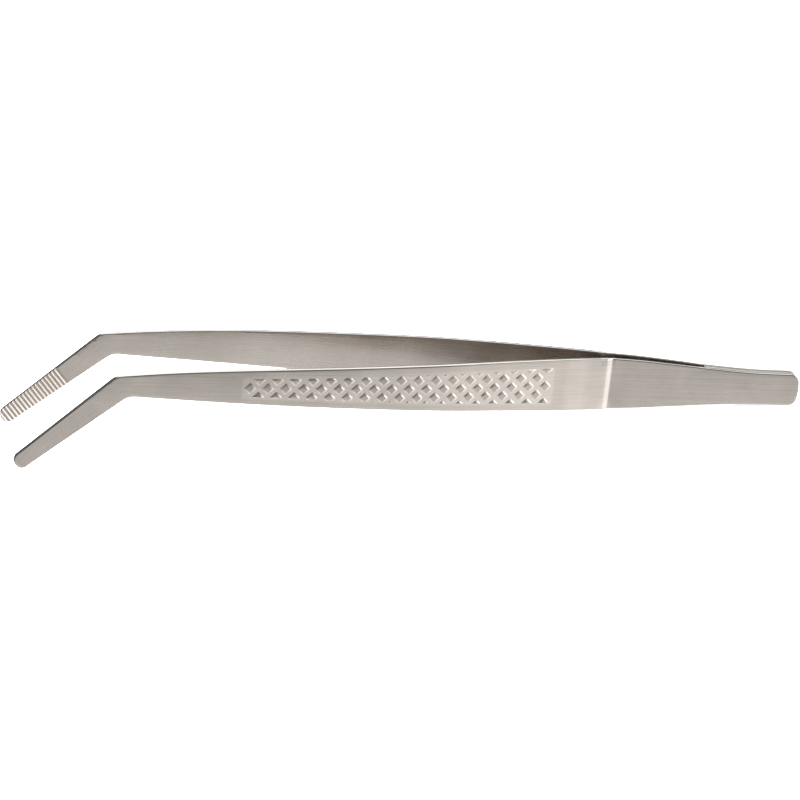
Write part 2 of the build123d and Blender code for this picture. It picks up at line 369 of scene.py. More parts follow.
WALK = [
    (SPRING_LENGTH + RAMP_LENGTH, SPRING_SLOPE, SPRING_SLOPE),
    (SHOULDER_RADIUS * math.radians(FLARE_SLOPE - SPRING_SLOPE), SPRING_SLOPE, FLARE_SLOPE),
    (FLARE_LENGTH, FLARE_SLOPE, FLARE_SLOPE),
    (KNEE_RADIUS * math.radians(FLARE_SLOPE - BOW_SLOPE), FLARE_SLOPE, BOW_SLOPE),
    (BOW_RADIUS * math.radians(BOW_SLOPE - JAW_SLOPE), BOW_SLOPE, JAW_SLOPE),
    (JAW_RUN, JAW_SLOPE, JAW_SLOPE),
]
walked = [(WELD_FRONT_X, SPACER_THICKNESS / 2, SPRING_SLOPE)]
for length, slope_from, slope_to in WALK:
    count = max(int(length / WALK_STEP), FEWEST_STEPS)
    for i in range(count):
        slope = math.radians(slope_from + (slope_to - slope_from) * (i + 0.5) / count)
        x, y, _ = walked[-1]
        end_slope = slope_from + (slope_to - slope_from) * (i + 1) / count
        step = length / count
        walked.append((x - math.cos(slope) * step, y + math.sin(slope) * step, end_slope))
walked = np.array(walked)[::-1]
JAW_RUN_START = walked[0, 0] + JAW_RUN * math.cos(math.radians(JAW_SLOPE))


def inner_face(x):
    """Distance of the strip's inner face from the middle, and its slope in degrees, at x."""
    if x >= WELD_FRONT_X:
        return SPACER_THICKNESS / 2, 0.0
    return tuple(float(np.interp(x, walked[:, 0], walked[:, i])) for i in (1, 2))


THICKNESS_X = [-101.0, JAW_RUN_START, 50.75, 51.15, 51.45, 51.68, 51.85, 52.55, 52.75, 53.0, 104.0]
THICKNESS_AT = [TIP_THICKNESS, ARM_THICKNESS, ARM_THICKNESS, 1.635, 1.595, 1.535, 1.45, 1.085, 1.02,
                LEAF_THICKNESS, LEAF_THICKNESS]


def steel_thickness(x):
    return float(np.interp(x, THICKNESS_X, THICKNESS_AT))


print("plan line from", walked[0][:2].round(2), "to", walked[-1][:2].round(2))

# %% [markdown]
# ## Serrations in the jaw
# The inner face of the jaw has 18 filed grooves, square to the jaw's own axis. One cutter has a soft bottom
# and soft shoulders, so the ridges between two grooves come out rounded and catch the light. It is copied
# along the jaw and cut in one go, as a file with that pitch would do it.

# %% Model the file and cut the grooves
SERRATION_COUNT = 18
SERRATION_PITCH = 1.03
SERRATION_WIDTH = 0.97
SERRATION_END_MARGIN = 0.95
FILE_REACH = 4.5
FILE_STEPS = [(0.3, 1.0), (0.03, 0.85), (0.08, 0.66), (0.14, 0.26), (0.035, 0.10)]

bpy.ops.mesh.primitive_plane_add(size=1, rotation=(math.pi / 2, 0, 0))
tooth = bpy.context.active_object
bpy.ops.object.transform_apply(location=False, rotation=True, scale=True)
tooth.name = "file_tooth"
bpy.ops.object.mode_set(mode="EDIT")
bpy.ops.mesh.select_all(action="SELECT")
bpy.ops.transform.resize(value=(SERRATION_WIDTH * MM, 1, 2 * FILE_REACH * MM), center_override=(0, 0, 0))
bpy.ops.transform.translate(value=(0, -FILE_STEPS[0][0] * MM, 0))
scale = 1.0
for rise, size in FILE_STEPS:
    bpy.ops.mesh.extrude_region_move(TRANSFORM_OT_translate={"value": (0, rise * MM, 0)})
    bpy.ops.transform.resize(value=(size / scale, 1, 1), center_override=(0, 0, 0))
    scale = size
bpy.ops.mesh.select_all(action="SELECT")
bpy.ops.mesh.normals_make_consistent(inside=False)
bpy.ops.transform.rotate(value=JAW_ANGLE, orient_axis="Y", center_override=(0, 0, 0))
bpy.ops.object.mode_set(mode="OBJECT")


def copy_to(source, x, y, z):
    twin = source.copy()
    twin.data = source.data.copy()
    bpy.context.collection.objects.link(twin)
    twin.location = Vector((x, y, z)) * MM
    return twin


def join_all(parts, name):
    """Joins objects into one, with its place in its mesh."""
    deselect_all()
    for part in parts:
        part.select_set(True)
    bpy.context.view_layer.objects.active = parts[0]
    bpy.ops.object.join()
    bpy.ops.object.transform_apply(location=True, rotation=True, scale=True)
    parts[0].name = name
    return parts[0]


def combine(piece, tool, operation):
    """Joins a tool to a piece, or cuts it out, and throws the tool away."""
    apply_modifier(piece, "BOOLEAN", operation=operation, object=tool, solver="EXACT")
    bpy.data.objects.remove(tool)


last_groove = JAW_LENGTH - SERRATION_END_MARGIN
grooves = []
for i in range(SERRATION_COUNT):
    x, z = jaw_point(last_groove - i * SERRATION_PITCH, 0.0)
    grooves.append(copy_to(tooth, x, 0.0, z))
combine(blank, join_all(grooves, "file"), "DIFFERENCE")
bpy.data.objects.remove(tooth)
print("serrated blank", len(blank.data.polygons), "faces")

# %% [markdown]
# ## Studs on the grip
# A coining press raises rows of diamonds on the outer face, so that wet or gloved fingers don't slip. One
# stud is modelled: a diamond with a flat top, sloped flanks and a root sunk in the arm. It is copied to
# every place, the copies are trimmed to the field's tapering border, and a boolean joins them all to the
# blank at once.

# %% Model one stud
STUD_PITCH = 4.5
STUD_COLUMNS = 18
STUD_ROWS = 3
STUD_LENGTH = 3.0
STUD_WIDTH = 2.95
STUD_ROOT = 0.1
STUD_ROW_Z = -0.15
STUD_ROW_TILT = math.radians(-0.22)
FIELD_START, FIELD_END = -42.9, 36.8
FIELD_TOP = (2.3, 4.4)
FIELD_BOTTOM = (-2.3, -5.0)
ROOT_SIZE = 1.06
FLAT_TRIES = 3
STUD_STEPS = [(STUD_ROOT, ROOT_SIZE), (0.02, 1.0), (0.145, 0.68), (0.015, 0.63)]

bpy.ops.mesh.primitive_circle_add(vertices=4, radius=0.5 * MM, fill_type="NGON",
                                  rotation=(-math.pi / 2, 0, 0))
stud = bpy.context.active_object
bpy.ops.object.transform_apply(location=False, rotation=True, scale=True)
stud.name = "stud"
bpy.ops.object.mode_set(mode="EDIT")
bpy.ops.mesh.select_all(action="SELECT")
scale = ROOT_SIZE
bpy.ops.transform.resize(value=(STUD_LENGTH * scale, 1, STUD_WIDTH * scale), center_override=(0, 0, 0))
for rise, size in STUD_STEPS:
    bpy.ops.mesh.extrude_region_move(TRANSFORM_OT_translate={"value": (0, rise * MM, 0)})
    bpy.ops.transform.resize(value=(size / scale, 1, size / scale), center_override=(0, 0, 0))
    scale = size
bpy.ops.mesh.select_all(action="SELECT")
bpy.ops.mesh.normals_make_consistent(inside=False)
bpy.ops.object.mode_set(mode="OBJECT")
print("stud has", len(stud.data.polygons), "faces")

# %% Copy the stud over the field
def flat_x(x):
    """Where a point of the outer face lies on the flat blank, given its place in side view."""
    flat = x
    for _ in range(FLAT_TRIES):
        flat = x - ARM_THICKNESS * math.sin(math.radians(inner_face(flat)[1]))
    return flat


field_middle = (FIELD_START + FIELD_END) / 2
studs = []
for columns, rows in ((STUD_COLUMNS, STUD_ROWS), (STUD_COLUMNS - 1, STUD_ROWS - 1)):
    for column in range(columns):
        for row in range(rows):
            x = (column - (columns - 1) / 2) * STUD_PITCH
            z = (row - (rows - 1) / 2) * STUD_PITCH
            side_x = field_middle + x * math.cos(STUD_ROW_TILT) - z * math.sin(STUD_ROW_TILT)
            side_z = STUD_ROW_Z + x * math.sin(STUD_ROW_TILT) + z * math.cos(STUD_ROW_TILT)
            studs.append(copy_to(stud, flat_x(side_x), ARM_THICKNESS - STUD_ROOT, side_z))
stud_block = join_all(studs, "stud_block")
print(len(studs), "studs")

# %% [markdown]
# The field narrows towards the bend: studs that reach over its border are cut short, and the cut side is a
# slope like the others. The trimming block has the shape of the field, wider at the roots than at the tops,
# and a boolean keeps only what the studs share with it. Bisect would do it too, but it leaves some cuts
# unfilled.

# %% Trim the studs to the field
BORDER_SLOPE = 1.4
TRIM_SINK, TRIM_RISE = 0.15, 0.25
TRIM_OVERHANG = 1.0


def trim_ring(spread):
    """The field's corners in side view, spread outwards, top and bottom, by a distance."""
    left, right = FIELD_START - TRIM_OVERHANG, FIELD_END + TRIM_OVERHANG
    return [(left, FIELD_BOTTOM[0] - spread), (right, FIELD_BOTTOM[1] - spread),
            (left, FIELD_TOP[0] + spread), (right, FIELD_TOP[1] + spread)]


def place_ring(piece, ring, y):
    """Puts the four selected vertices on a ring of corners, at a depth."""
    bpy.ops.object.mode_set(mode="OBJECT")
    chosen = sorted((v for v in piece.data.vertices if v.select), key=lambda v: (v.co.z > 0, v.co.x))
    for v, (x, z) in zip(chosen, ring):
        v.co = Vector((x, y, z)) * MM
    bpy.ops.object.mode_set(mode="EDIT")


deselect_all()
bpy.ops.mesh.primitive_plane_add(size=1, rotation=(-math.pi / 2, 0, 0))
trim_block = bpy.context.active_object
bpy.ops.object.transform_apply(location=False, rotation=True, scale=True)
bpy.ops.object.mode_set(mode="EDIT")
bpy.ops.mesh.select_all(action="SELECT")
place_ring(trim_block, trim_ring(BORDER_SLOPE * TRIM_SINK), ARM_THICKNESS - TRIM_SINK)
bpy.ops.mesh.extrude_region_move(TRANSFORM_OT_translate={"value": (0, TRIM_SINK * MM, 0)})
place_ring(trim_block, trim_ring(-BORDER_SLOPE * TRIM_RISE), ARM_THICKNESS + TRIM_RISE)
bpy.ops.mesh.select_all(action="SELECT")
bpy.ops.mesh.normals_make_consistent(inside=False)
bpy.ops.object.mode_set(mode="OBJECT")
apply_modifier(stud_block, "BOOLEAN", operation="INTERSECT", object=trim_block, solver="EXACT")
bpy.data.objects.remove(trim_block)
print("trimmed block", len(stud_block.data.polygons), "faces")

# %% Join the studs to the blank
combine(blank, stud_block, "UNION")
bpy.data.objects.remove(stud)
print("studded blank", len(blank.data.polygons), "faces")

# %% [markdown]
# ## Bend the blank
# In the workshop a press bends the flat blank between two dies. Blender's own bend tool needs a window, so
# each point is moved by the plan line instead: out to the line at its x, then square to it by its own
# depth. Its place on the flat blank is kept in an attribute first, so that the brushing can follow the
# steel round the bends. A ground face is never quite flat, so five lengthwise cuts give the wide faces
# points to be crowned with.

# %% Keep the flat place, then press to shape
BEND_REACH = 5.0


def flat_place(point):
    """Where a point lies along, through and across the strip, in mm, turning the corner with the jaw."""
    x, depth, z = point / MM
    along, across = jaw_place(x, z)
    ahead = BEND_CENTRE[0] - x
    if along + ahead > 0 and ahead > -BEND_REACH:
        return (-along, depth, across)
    return (-ahead, depth, z - BEND_CENTRE[1])


def keep_place(piece):
    layer = piece.data.attributes.new("strip_place", "FLOAT_VECTOR", "POINT")
    for v in piece.data.vertices:
        layer.data[v.index].vector = flat_place(v.co)


CROWN_HEIGHT = 0.05
CROWN_BLEND = (-60.0, -70.0)
JAW_HALF_WIDTHS = (3.1, 1.9)
LEAST_WIDTH = 0.1


def edge_nearness(x, z):
    """0 on the middle line of the strip, 1 on its edges."""
    top, bottom = tail_height(x, TOP_HEIGHTS), tail_height(x, BOTTOM_HEIGHTS)
    straight = min(abs(2 * z - top - bottom) / max(top - bottom, LEAST_WIDTH), 1.0)
    along, across = jaw_place(x, z)
    jaw = min(abs(across) / float(np.interp(along, (0.0, JAW_LENGTH), JAW_HALF_WIDTHS)), 1.0)
    share = min(max((x - CROWN_BLEND[0]) / (CROWN_BLEND[1] - CROWN_BLEND[0]), 0.0), 1.0)
    return straight + (jaw - straight) * share


def press(piece):
    for v in piece.data.vertices:
        x, depth, z = v.co / MM
        y, slope = inner_face(x)
        depth += CROWN_HEIGHT * edge_nearness(x, z) ** 2 * (1 - 2 * depth / ARM_THICKNESS)
        depth *= steel_thickness(x) / ARM_THICKNESS
        lean = math.radians(slope)
        v.co = Vector((x + depth * math.sin(lean), y + depth * math.cos(lean), z)) * MM


CROWN_CUTS = (-4.2, -2.1, 0.05, 2.1, 4.2)
pick(blank)
bpy.ops.object.mode_set(mode="EDIT")
for height in CROWN_CUTS:
    bpy.ops.mesh.select_all(action="SELECT")
    bpy.ops.mesh.bisect(plane_co=(0, 0, height * MM), plane_no=(0, 0, 1))
bpy.ops.object.mode_set(mode="OBJECT")
keep_place(blank)
press(blank)
print("strip reaches out to", round(max(v.co.y for v in blank.data.vertices) / MM, 2), "mm")

# %% [markdown]
# The other strip is the same blank bent the other way. A copy is scaled by -1 across the tongs, which turns
# its faces inside out, so its normals are recalculated. Both are then stood on their feet. Smooth shading
# with weighted normals keeps the wide faces flat and lets the rolled edges carry all of the turn.

# %% Mirror, stand up and smooth both strips
SMOOTH_ANGLE = math.radians(33)
LEFT_GRAIN_SHIFT = 431.0
AREA_WEIGHT = 50


def stand_up(piece):
    """Turns a piece from the level drawing onto its feet, in its mesh."""
    piece.data.transform(STANCE)
    piece.data.update()


def smooth(piece):
    pick(piece)
    bpy.ops.object.shade_smooth_by_angle(angle=SMOOTH_ANGLE)
    apply_modifier(piece, "WEIGHTED_NORMAL", mode="FACE_AREA", weight=AREA_WEIGHT, keep_sharp=True)


strip_right = blank
strip_left = copy_to(strip_right, 0, 0, 0)
strip_left.name = "strip_left"
pick(strip_left)
bpy.ops.object.mode_set(mode="EDIT")
bpy.ops.mesh.select_all(action="SELECT")
bpy.ops.transform.resize(value=(1, -1, 1), center_override=(0, 0, 0))
bpy.ops.mesh.normals_make_consistent(inside=False)
bpy.ops.object.mode_set(mode="OBJECT")
for value in strip_left.data.attributes["strip_place"].data:
    value.vector = value.vector + Vector((0, LEFT_GRAIN_SHIFT, 0))
for strip in (strip_right, strip_left):
    stand_up(strip)
    smooth(strip)
print("strips have", len(strip_left.data.polygons), "faces each")

# %% [markdown]
# ## Materials
# All the steel was ground lengthwise on a belt. That leaves fine lines along the strip, a little colour
# change from line to line and patches where fingers have polished it. The lines and the patches are two
# node groups, because every steel piece needs them at its own scale.

# %% Node helpers
def node(tree, kind, x=0, y=0, **settings):
    made = tree.nodes.new(kind)
    made.location = (x, y)
    for name, value in settings.items():
        setattr(made, name, value)
    return made


def link(tree, *pairs):
    for out, into in pairs:
        tree.links.new(out, into)


def group_tree(name, inputs, outputs):
    """A new shader node group with named number or vector inputs and number outputs."""
    tree = bpy.data.node_groups.new(name, "ShaderNodeTree")
    for label, kind, default in inputs:
        socket = tree.interface.new_socket(label, in_out="INPUT", socket_type=kind)
        if default is not None:
            socket.default_value = default
    for label in outputs:
        tree.interface.new_socket(label, in_out="OUTPUT", socket_type="NodeSocketFloat")
    return tree, node(tree, "NodeGroupInput", -900), node(tree, "NodeGroupOutput", 500)


def scaled_place(tree, source, length, width, x=-700, y=0):
    """Divides a place by a length along x and a width along y and z."""
    sizes = node(tree, "ShaderNodeCombineXYZ", x, y - 150)
    link(tree, (length, sizes.inputs[0]), (width, sizes.inputs[1]), (width, sizes.inputs[2]))
    divide = node(tree, "ShaderNodeVectorMath", x + 180, y, operation="DIVIDE")
    link(tree, (source, divide.inputs[0]), (sizes.outputs[0], divide.inputs[1]))
    return divide.outputs[0]


print("node helpers ready")

# %% Group: lengthwise brushing
brushing, g_in, g_out = group_tree(
    "Lengthwise brushing",
    [("Place", "NodeSocketVector", None), ("Line length", "NodeSocketFloat", 14.0),
     ("Line width", "NodeSocketFloat", 0.16)],
    ["Lines", "Hairlines"])
broad = node(brushing, "ShaderNodeTexNoise", -250, 150, noise_dimensions="3D")
broad.inputs["Scale"].default_value = 1.0
broad.inputs["Detail"].default_value = 3.0
broad.inputs["Roughness"].default_value = 0.62
link(brushing, (scaled_place(brushing, g_in.outputs["Place"], g_in.outputs["Line length"],
                             g_in.outputs["Line width"]), broad.inputs["Vector"]))
hair = node(brushing, "ShaderNodeTexNoise", -250, -200, noise_dimensions="3D")
hair.inputs["Scale"].default_value = 3.7
hair.inputs["Detail"].default_value = 2.0
hair.inputs["Roughness"].default_value = 0.7
link(brushing, (scaled_place(brushing, g_in.outputs["Place"], g_in.outputs["Line length"],
                             g_in.outputs["Line width"], y=-300), hair.inputs["Vector"]),
     (broad.outputs["Fac"], g_out.inputs["Lines"]), (hair.outputs["Fac"], g_out.inputs["Hairlines"]))
print("brushing group has", len(brushing.nodes), "nodes")

# %% Group: handling patches
handling, g_in, g_out = group_tree(
    "Handling patches",
    [("Place", "NodeSocketVector", None), ("Patch size", "NodeSocketFloat", 9.0)], ["Patches", "Specks"])
patch = node(handling, "ShaderNodeTexNoise", -250, 150, noise_dimensions="3D")
patch.inputs["Scale"].default_value = 1.0
patch.inputs["Detail"].default_value = 4.0
patch.inputs["Distortion"].default_value = 0.4
link(handling, (scaled_place(handling, g_in.outputs["Place"], g_in.outputs["Patch size"],
                             g_in.outputs["Patch size"]), patch.inputs["Vector"]))
speck = node(handling, "ShaderNodeTexNoise", -250, -150, noise_dimensions="3D")
speck.inputs["Scale"].default_value = 30.0
speck.inputs["Detail"].default_value = 1.0
link(handling, (scaled_place(handling, g_in.outputs["Place"], g_in.outputs["Patch size"],
                             g_in.outputs["Patch size"], y=-300), speck.inputs["Vector"]),
     (patch.outputs["Fac"], g_out.inputs["Patches"]), (speck.outputs["Fac"], g_out.inputs["Specks"]))
print("handling group has", len(handling.nodes), "nodes")

# %% [markdown]
# The press leaves the ground between the studs brighter than the brushed face, because the die was
# polished, and the tops of the studs duller. The jaw is darkened by painted shade, and two bands beside the
# shoulder are brightened by a painted highlight, a reflection band painted into the colour. The masks are
# drawn from the flat place: the ground lies inside the field's four borders and no higher than the foot of
# a stud.

# %% Group: pressed zones, painted shade and painted highlights
def product(tree, masks, x, y):
    """Multiplies masks together."""
    total = masks[0]
    for i, mask in enumerate(masks[1:]):
        times = node(tree, "ShaderNodeMath", x + 160 * i, y, operation="MULTIPLY")
        link(tree, (total, times.inputs[0]), (mask, times.inputs[1]))
        total = times.outputs[0]
    return total


def remap(tree, source, low, high, x, y, source_low=0.3, source_high=0.7):
    """Spreads a mask, most of which lies between source_low and source_high, over low to high."""
    spread = node(tree, "ShaderNodeMapRange", x, y, clamp=True)
    for socket, value in zip(spread.inputs[1:5], (source_low, source_high, low, high)):
        socket.default_value = value
    link(tree, (source, spread.inputs[0]))
    return spread.outputs[0]


FIELD_MARGIN = 0.7
STEEL_FOOT, STUD_FOOT, STUD_TOP = 1.5, 1.70, 1.81
FOOT_FADE, TOP_FADE = 0.05, 0.02
OTHER_STRIP = (5.0, 6.0)
# Painted shade: the jaw zone is darkened in the colour.
PAINTED_JAW_SHADE_ZONE = (28.0, 38.0)
# Painted highlight: two bands beside the shoulder are brightened in the colour.
PAINTED_HIGHLIGHT_ZONES = [(39.5, 41.5, 44.8, 47.2), (50.1, 50.7, 51.4, 51.7)]
zones_and_painted_light, g_in, g_out = group_tree("Pressed zones and painted light", [("Place", "NodeSocketVector", None)],
                                  ["Ground", "Tops", "Painted jaw shade", "Painted highlight"])
axes = node(zones_and_painted_light, "ShaderNodeSeparateXYZ", -700, 0)
link(zones_and_painted_light, (g_in.outputs["Place"], axes.inputs[0]))
ends = [value - BEND_CENTRE[0] for value in (FIELD_START, FIELD_END)]
masks = [remap(zones_and_painted_light, axes.outputs["X"], 0.0, 1.0, -450, 400, ends[0] - FIELD_MARGIN, ends[0]),
         remap(zones_and_painted_light, axes.outputs["X"], 1.0, 0.0, -450, 200, ends[1], ends[1] + FIELD_MARGIN)]
for border, side in ((FIELD_TOP, 1), (FIELD_BOTTOM, -1)):
    lean = (border[1] - border[0]) / (ends[1] - ends[0])
    offset = node(zones_and_painted_light, "ShaderNodeMath", -560, -200 * side, operation="MULTIPLY_ADD")
    offset.inputs[1].default_value = -lean * side
    offset.inputs[2].default_value = -side * (border[0] - BEND_CENTRE[1] - lean * ends[0])
    out = node(zones_and_painted_light, "ShaderNodeMath", -400, -200 * side, operation="MULTIPLY_ADD")
    out.inputs[1].default_value = side
    link(zones_and_painted_light, (axes.outputs["X"], offset.inputs[0]), (axes.outputs["Z"], out.inputs[0]),
         (offset.outputs[0], out.inputs[2]))
    masks.append(remap(zones_and_painted_light, out.outputs[0], 1.0, 0.0, -240, -200 * side, 0.0, FIELD_MARGIN))
depth = node(zones_and_painted_light, "ShaderNodeMath", -560, -600, operation="MODULO")
depth.inputs[1].default_value = LEFT_GRAIN_SHIFT
link(zones_and_painted_light, (axes.outputs["Y"], depth.inputs[0]))
masks.append(remap(zones_and_painted_light, depth.outputs[0], 0.0, 1.0, -240, -600, STEEL_FOOT - FOOT_FADE, STEEL_FOOT))
masks.append(remap(zones_and_painted_light, depth.outputs[0], 1.0, 0.0, -240, -800, STUD_FOOT, STUD_FOOT + FOOT_FADE))
top_mask = remap(zones_and_painted_light, depth.outputs[0], 0.0, 1.0, -240, -1000, STUD_TOP - TOP_FADE, STUD_TOP)
# Painted shade: this mask darkens the jaw.
painted_jaw_shade_mask = remap(zones_and_painted_light, axes.outputs["X"], 1.0, 0.0, -240, -1200, *PAINTED_JAW_SHADE_ZONE)
low_enough = remap(zones_and_painted_light, depth.outputs[0], 1.0, 0.0, -240, -1400, *OTHER_STRIP)
# Painted highlight: these masks brighten two bands beside the shoulder.
painted_highlights = []
for start, full, fading, end in PAINTED_HIGHLIGHT_ZONES:
    start, full, fading, end = (value - BEND_CENTRE[0] for value in (start, full, fading, end))
    rising = remap(zones_and_painted_light, axes.outputs["X"], 0.0, 1.0, -240, -1600, start, full)
    falling = remap(zones_and_painted_light, axes.outputs["X"], 1.0, 0.0, -240, -1800, fading, end)
    painted_highlights.append(product(zones_and_painted_light, [rising, falling], 0, -1600))
both = node(zones_and_painted_light, "ShaderNodeMath", 300, -1600, operation="ADD")
link(zones_and_painted_light, (painted_highlights[0], both.inputs[0]), (painted_highlights[1], both.inputs[1]),
     (both.outputs[0], g_out.inputs["Painted highlight"]))
link(zones_and_painted_light, (product(zones_and_painted_light, masks, 0, 0), g_out.inputs["Ground"]),
     (product(zones_and_painted_light, [top_mask, low_enough], 0, -1000), g_out.inputs["Tops"]),
     (painted_jaw_shade_mask, g_out.inputs["Painted jaw shade"]))
print("zone group has", len(zones_and_painted_light.nodes), "nodes")

# %% [markdown]
# The steel shader itself stays in each material. Line and patch masks steer its colour, roughness and bump;
# the metal, which is the same all over, is set on the shader's own socket.

# %% Steel materials
LINE_SHARE, PATCH_SHARE = 0.7, 0.3
HAIR_SHARE = 0.6
BUMP_DEPTH = 0.25


def steel(name, dark, light, rough, rough_spread, line_length, line_width, bump, place="ATTRIBUTE",
          zones=None):
    """A brushed steel with its own colours, roughness and size of line."""
    material = bpy.data.materials.get(name) or bpy.data.materials.new(name)
    material.use_nodes = True
    tree = material.node_tree
    shader = next(n for n in tree.nodes if n.type == "BSDF_PRINCIPLED")
    shader.inputs["Metallic"].default_value = 1.0
    if place == "ATTRIBUTE":
        where = node(tree, "ShaderNodeAttribute", -1300, 0, attribute_name="strip_place").outputs["Vector"]
    else:
        coordinates = node(tree, "ShaderNodeTexCoord", -1500, 0)
        mapping = node(tree, "ShaderNodeMapping", -1300, 0)
        mapping.inputs["Rotation"].default_value = (0, -STANCE_TILT, 0)
        mapping.inputs["Scale"].default_value = (1 / MM,) * 3
        link(tree, (coordinates.outputs["Object"], mapping.inputs["Vector"]))
        where = mapping.outputs["Vector"]
    lines = node(tree, "ShaderNodeGroup", -1050, 150, node_tree=brushing)
    lines.inputs["Line length"].default_value = line_length
    lines.inputs["Line width"].default_value = line_width
    patches = node(tree, "ShaderNodeGroup", -1050, -250, node_tree=handling)
    link(tree, (where, lines.inputs["Place"]), (where, patches.inputs["Place"]))
    tint = node(tree, "ShaderNodeMix", -400, 300, data_type="RGBA")
    tint.inputs[6].default_value = (*dark, 1)
    tint.inputs[7].default_value = (*light, 1)
    mean = node(tree, "ShaderNodeMath", -820, 300, operation="MULTIPLY_ADD")
    mean.inputs[1].default_value = LINE_SHARE
    link(tree, (lines.outputs["Lines"], mean.inputs[0]),
         (remap(tree, patches.outputs["Patches"], 0.0, PATCH_SHARE, -820, 120), mean.inputs[2]),
         (remap(tree, mean.outputs[0], 0.0, 1.0, -620, 300), tint.inputs[0]))
    colour = tint.outputs[2]
    # Zone masks scale the colour: the pressed ground and stud tops, the jaw's painted shade and the shoulder
    # bands' painted highlight.
    if zones:
        field = node(tree, "ShaderNodeGroup", -900, 700, node_tree=zones_and_painted_light)
        brighter = node(tree, "ShaderNodeVectorMath", -200, 400, operation="SCALE")
        gain = None
        for i, (zone, share) in enumerate(zones.items()):
            step = node(tree, "ShaderNodeMath", -700 + 160 * i, 600, operation="MULTIPLY_ADD")
            step.inputs[1].default_value = share
            step.inputs[2].default_value = 1.0
            link(tree, (field.outputs[zone], step.inputs[0]))
            if gain:
                link(tree, (gain, step.inputs[2]))
            gain = step.outputs[0]
        link(tree, (where, field.inputs["Place"]), (colour, brighter.inputs[0]),
             (gain, brighter.inputs["Scale"]))
        colour = brighter.outputs[0]
    link(tree, (colour, shader.inputs["Base Color"]))
    rough_line = remap(tree, lines.outputs["Lines"], rough - rough_spread, rough + rough_spread, -620, 0)
    polish = remap(tree, patches.outputs["Patches"], -rough_spread, rough_spread, -620, -250)
    total = node(tree, "ShaderNodeMath", -400, -50, operation="ADD")
    link(tree, (rough_line, total.inputs[0]), (polish, total.inputs[1]),
         (total.outputs[0], shader.inputs["Roughness"]))
    height = node(tree, "ShaderNodeMath", -620, -500, operation="MULTIPLY_ADD")
    height.inputs[1].default_value = HAIR_SHARE
    relief = node(tree, "ShaderNodeBump", -400, -400)
    relief.inputs["Strength"].default_value = bump
    relief.inputs["Distance"].default_value = line_width * MM * BUMP_DEPTH
    link(tree, (lines.outputs["Hairlines"], height.inputs[0]), (lines.outputs["Lines"], height.inputs[2]),
         (height.outputs[0], relief.inputs["Height"]), (relief.outputs[0], shader.inputs["Normal"]))
    return material


# The jaw's negative share is painted shade; the share for the two bands beside the shoulder is a painted
# highlight.
steel("belt_ground_steel", (0.60, 0.547, 0.498), (0.71, 0.652, 0.597),
      0.24, 0.03, 26.0, 0.22, 0.22,
      zones={"Ground": 0.14, "Tops": -0.18, "Painted jaw shade": -0.13, "Painted highlight": 0.10})
steel("polished_edge", (0.56, 0.53, 0.49), (0.68, 0.645, 0.60), 0.08, 0.02, 9.0, 0.12, 0.08)
spacer_steel = steel("plain_spacer_steel", (0.50, 0.47, 0.43), (0.62, 0.58, 0.54),
                     0.36, 0.05, 6.0, 0.3, 0.4, "OBJECT")
print("materials", [m.name for m in bpy.data.materials])

# %% Weld material
weld_bead = steel("weld_metal", (0.40, 0.39, 0.35), (0.58, 0.565, 0.52),
                  0.34, 0.06, 1.2, 0.35, 0.5, "OBJECT")
print("weld material", weld_bead.name)

# %% Bake the strips in place and hide the imported leaves
for strip, side in ((strip_left, "left"), (strip_right, "right")):
    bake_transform(strip)
    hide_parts(side + "_arm", side + "_spring_leaf", side + "_tail_leaf")

# %% [markdown]
# ## The weld
# The tail's top and bottom edges are closed by a bead of weld over the spacer. Each drop of weld froze over
# the one before, which leaves ripples across the bead. A short block is extruded drop by drop along the
# edge: a wide, high crest, then a narrower, lower valley.

# %% Lay a rippled bead along the top edge
BEAD_START_X = 77.6
BEAD_HALF_WIDTH = 0.83
BEAD_DEPTH = 0.68
BEAD_SINK = 0.03
DROP_LENGTH = 0.56
DROP_RIPPLE = 0.09
DROP_SHAPE = [(0.22, -0.01, 1.0), (0.45, 0.0, 1.0), (0.70, -0.03, 0.99), (0.88, -0.08, 0.96),
              (1.0, -DROP_RIPPLE, 0.95)]
TAIL_REACH = 101.2
BEAD_BEVEL = 0.12
BEVEL_ANGLE = math.radians(60)


def lay_bead(name, heights, up):
    """A bead along the tail's edge: up is 1 for the top edge and -1 for the bottom one."""
    deselect_all()
    bpy.ops.mesh.primitive_plane_add(size=1, rotation=(0, math.pi / 2, 0))
    bead = bpy.context.active_object
    bead.name = name
    bpy.ops.object.transform_apply(location=False, rotation=True, scale=True)
    top = tail_height(BEAD_START_X, heights) - up * (BEAD_SINK + DROP_RIPPLE)
    bpy.ops.object.mode_set(mode="EDIT")
    bpy.ops.mesh.select_all(action="SELECT")
    bpy.ops.transform.resize(value=(1, 2 * BEAD_HALF_WIDTH * MM, BEAD_DEPTH * MM), center_override=(0, 0, 0))
    middle = Vector((BEAD_START_X, 0, top - up * BEAD_DEPTH / 2)) * MM
    bpy.ops.transform.translate(value=middle)
    width, x = 1.0, BEAD_START_X
    while x < TAIL_REACH:
        start = x
        for share, dip, size in DROP_SHAPE:
            x = start + share * DROP_LENGTH
            top = tail_height(x, heights) - up * (BEAD_SINK - dip)
            target = Vector((x, 0, top - up * BEAD_DEPTH / 2)) * MM
            bpy.ops.mesh.extrude_region_move(TRANSFORM_OT_translate={"value": target - middle})
            bpy.ops.transform.resize(value=(1, size / width, 1), center_override=target)
            middle, width = target, size
    bpy.ops.mesh.select_all(action="SELECT")
    bpy.ops.mesh.normals_make_consistent(inside=False)
    bpy.ops.object.mode_set(mode="OBJECT")
    return bead


